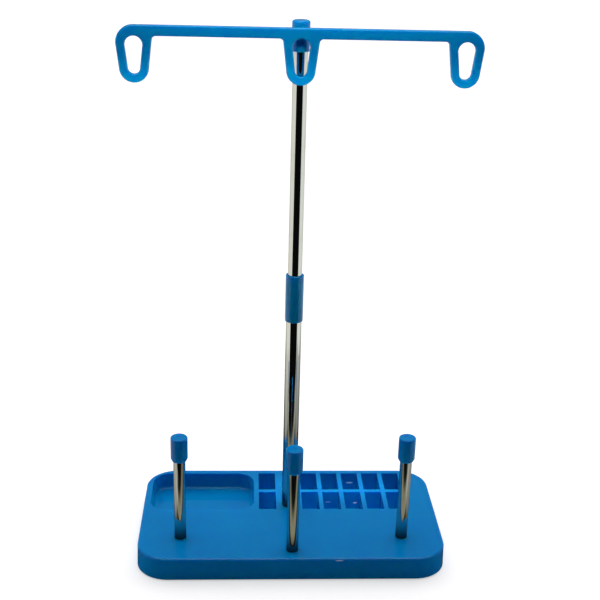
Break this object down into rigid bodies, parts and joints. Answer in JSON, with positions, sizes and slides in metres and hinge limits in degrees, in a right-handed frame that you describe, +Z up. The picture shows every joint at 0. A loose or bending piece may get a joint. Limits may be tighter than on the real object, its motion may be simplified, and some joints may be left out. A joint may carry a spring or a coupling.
{
  "type": "thread rack",
  "caption": "Free-standing thread rack: three capped spool pins, telescopic mast with a swivelling eyelet bar, and a base with tray and bobbin pockets.",
  "frame": {"origin": "on the table under the middle of the base", "axes": "+Z up along the mast, +Y from the spool pins towards the tray and pockets at the back, +X to the right of someone who faces the spool pins"},
  "size_m": [0.2468, 0.13, 0.3925],
  "materials": {
    "blue_plastic": "glossy injection-moulded blue plastic",
    "chrome_tube": "bright chrome-plated steel tube",
    "plug_plastic": "matt natural plastic",
    "pad_rubber": "matt soft rubber"
  },
  "bodies": {
    "stand": {"base": "blue_plastic", "spool_pin_left": "chrome_tube", "spool_pin_centre": "chrome_tube", "spool_pin_right": "chrome_tube", "mast_lower_tube": "chrome_tube", "mast_sleeve": "blue_plastic", "foot_front_left": "pad_rubber", "foot_front_right": "pad_rubber", "foot_back_left": "pad_rubber", "foot_back_right": "pad_rubber"},
    "upper_mast": {"mast_upper_tube": "chrome_tube", "mast_slide_plug": "plug_plastic"},
    "guide": {"guide_bar": "blue_plastic"},
    "left_cap": {"pin_cap_left": "blue_plastic"},
    "centre_cap": {"pin_cap_centre": "blue_plastic"},
    "right_cap": {"pin_cap_right": "blue_plastic"}
  },
  "joints": [
    {"name": "mast_extend", "type": "slide", "parent": "stand", "child": "upper_mast", "axis": [0, 0, 1], "range_m": [-0.16, 0]},
    {"name": "guide_swivel", "type": "hinge", "parent": "upper_mast", "child": "guide", "pos_m": [0, 0.0112, 0.385], "axis": [0, 0, 1], "continuous": true},
    {"name": "left_cap_pull", "type": "slide", "parent": "stand", "child": "left_cap", "axis": [0, 0, 1], "range_m": [0, 0.02]},
    {"name": "centre_cap_pull", "type": "slide", "parent": "stand", "child": "centre_cap", "axis": [0, 0, 1], "range_m": [0, 0.02]},
    {"name": "right_cap_pull", "type": "slide", "parent": "stand", "child": "right_cap", "axis": [0, 0, 1], "range_m": [0, 0.02]}
  ]
}
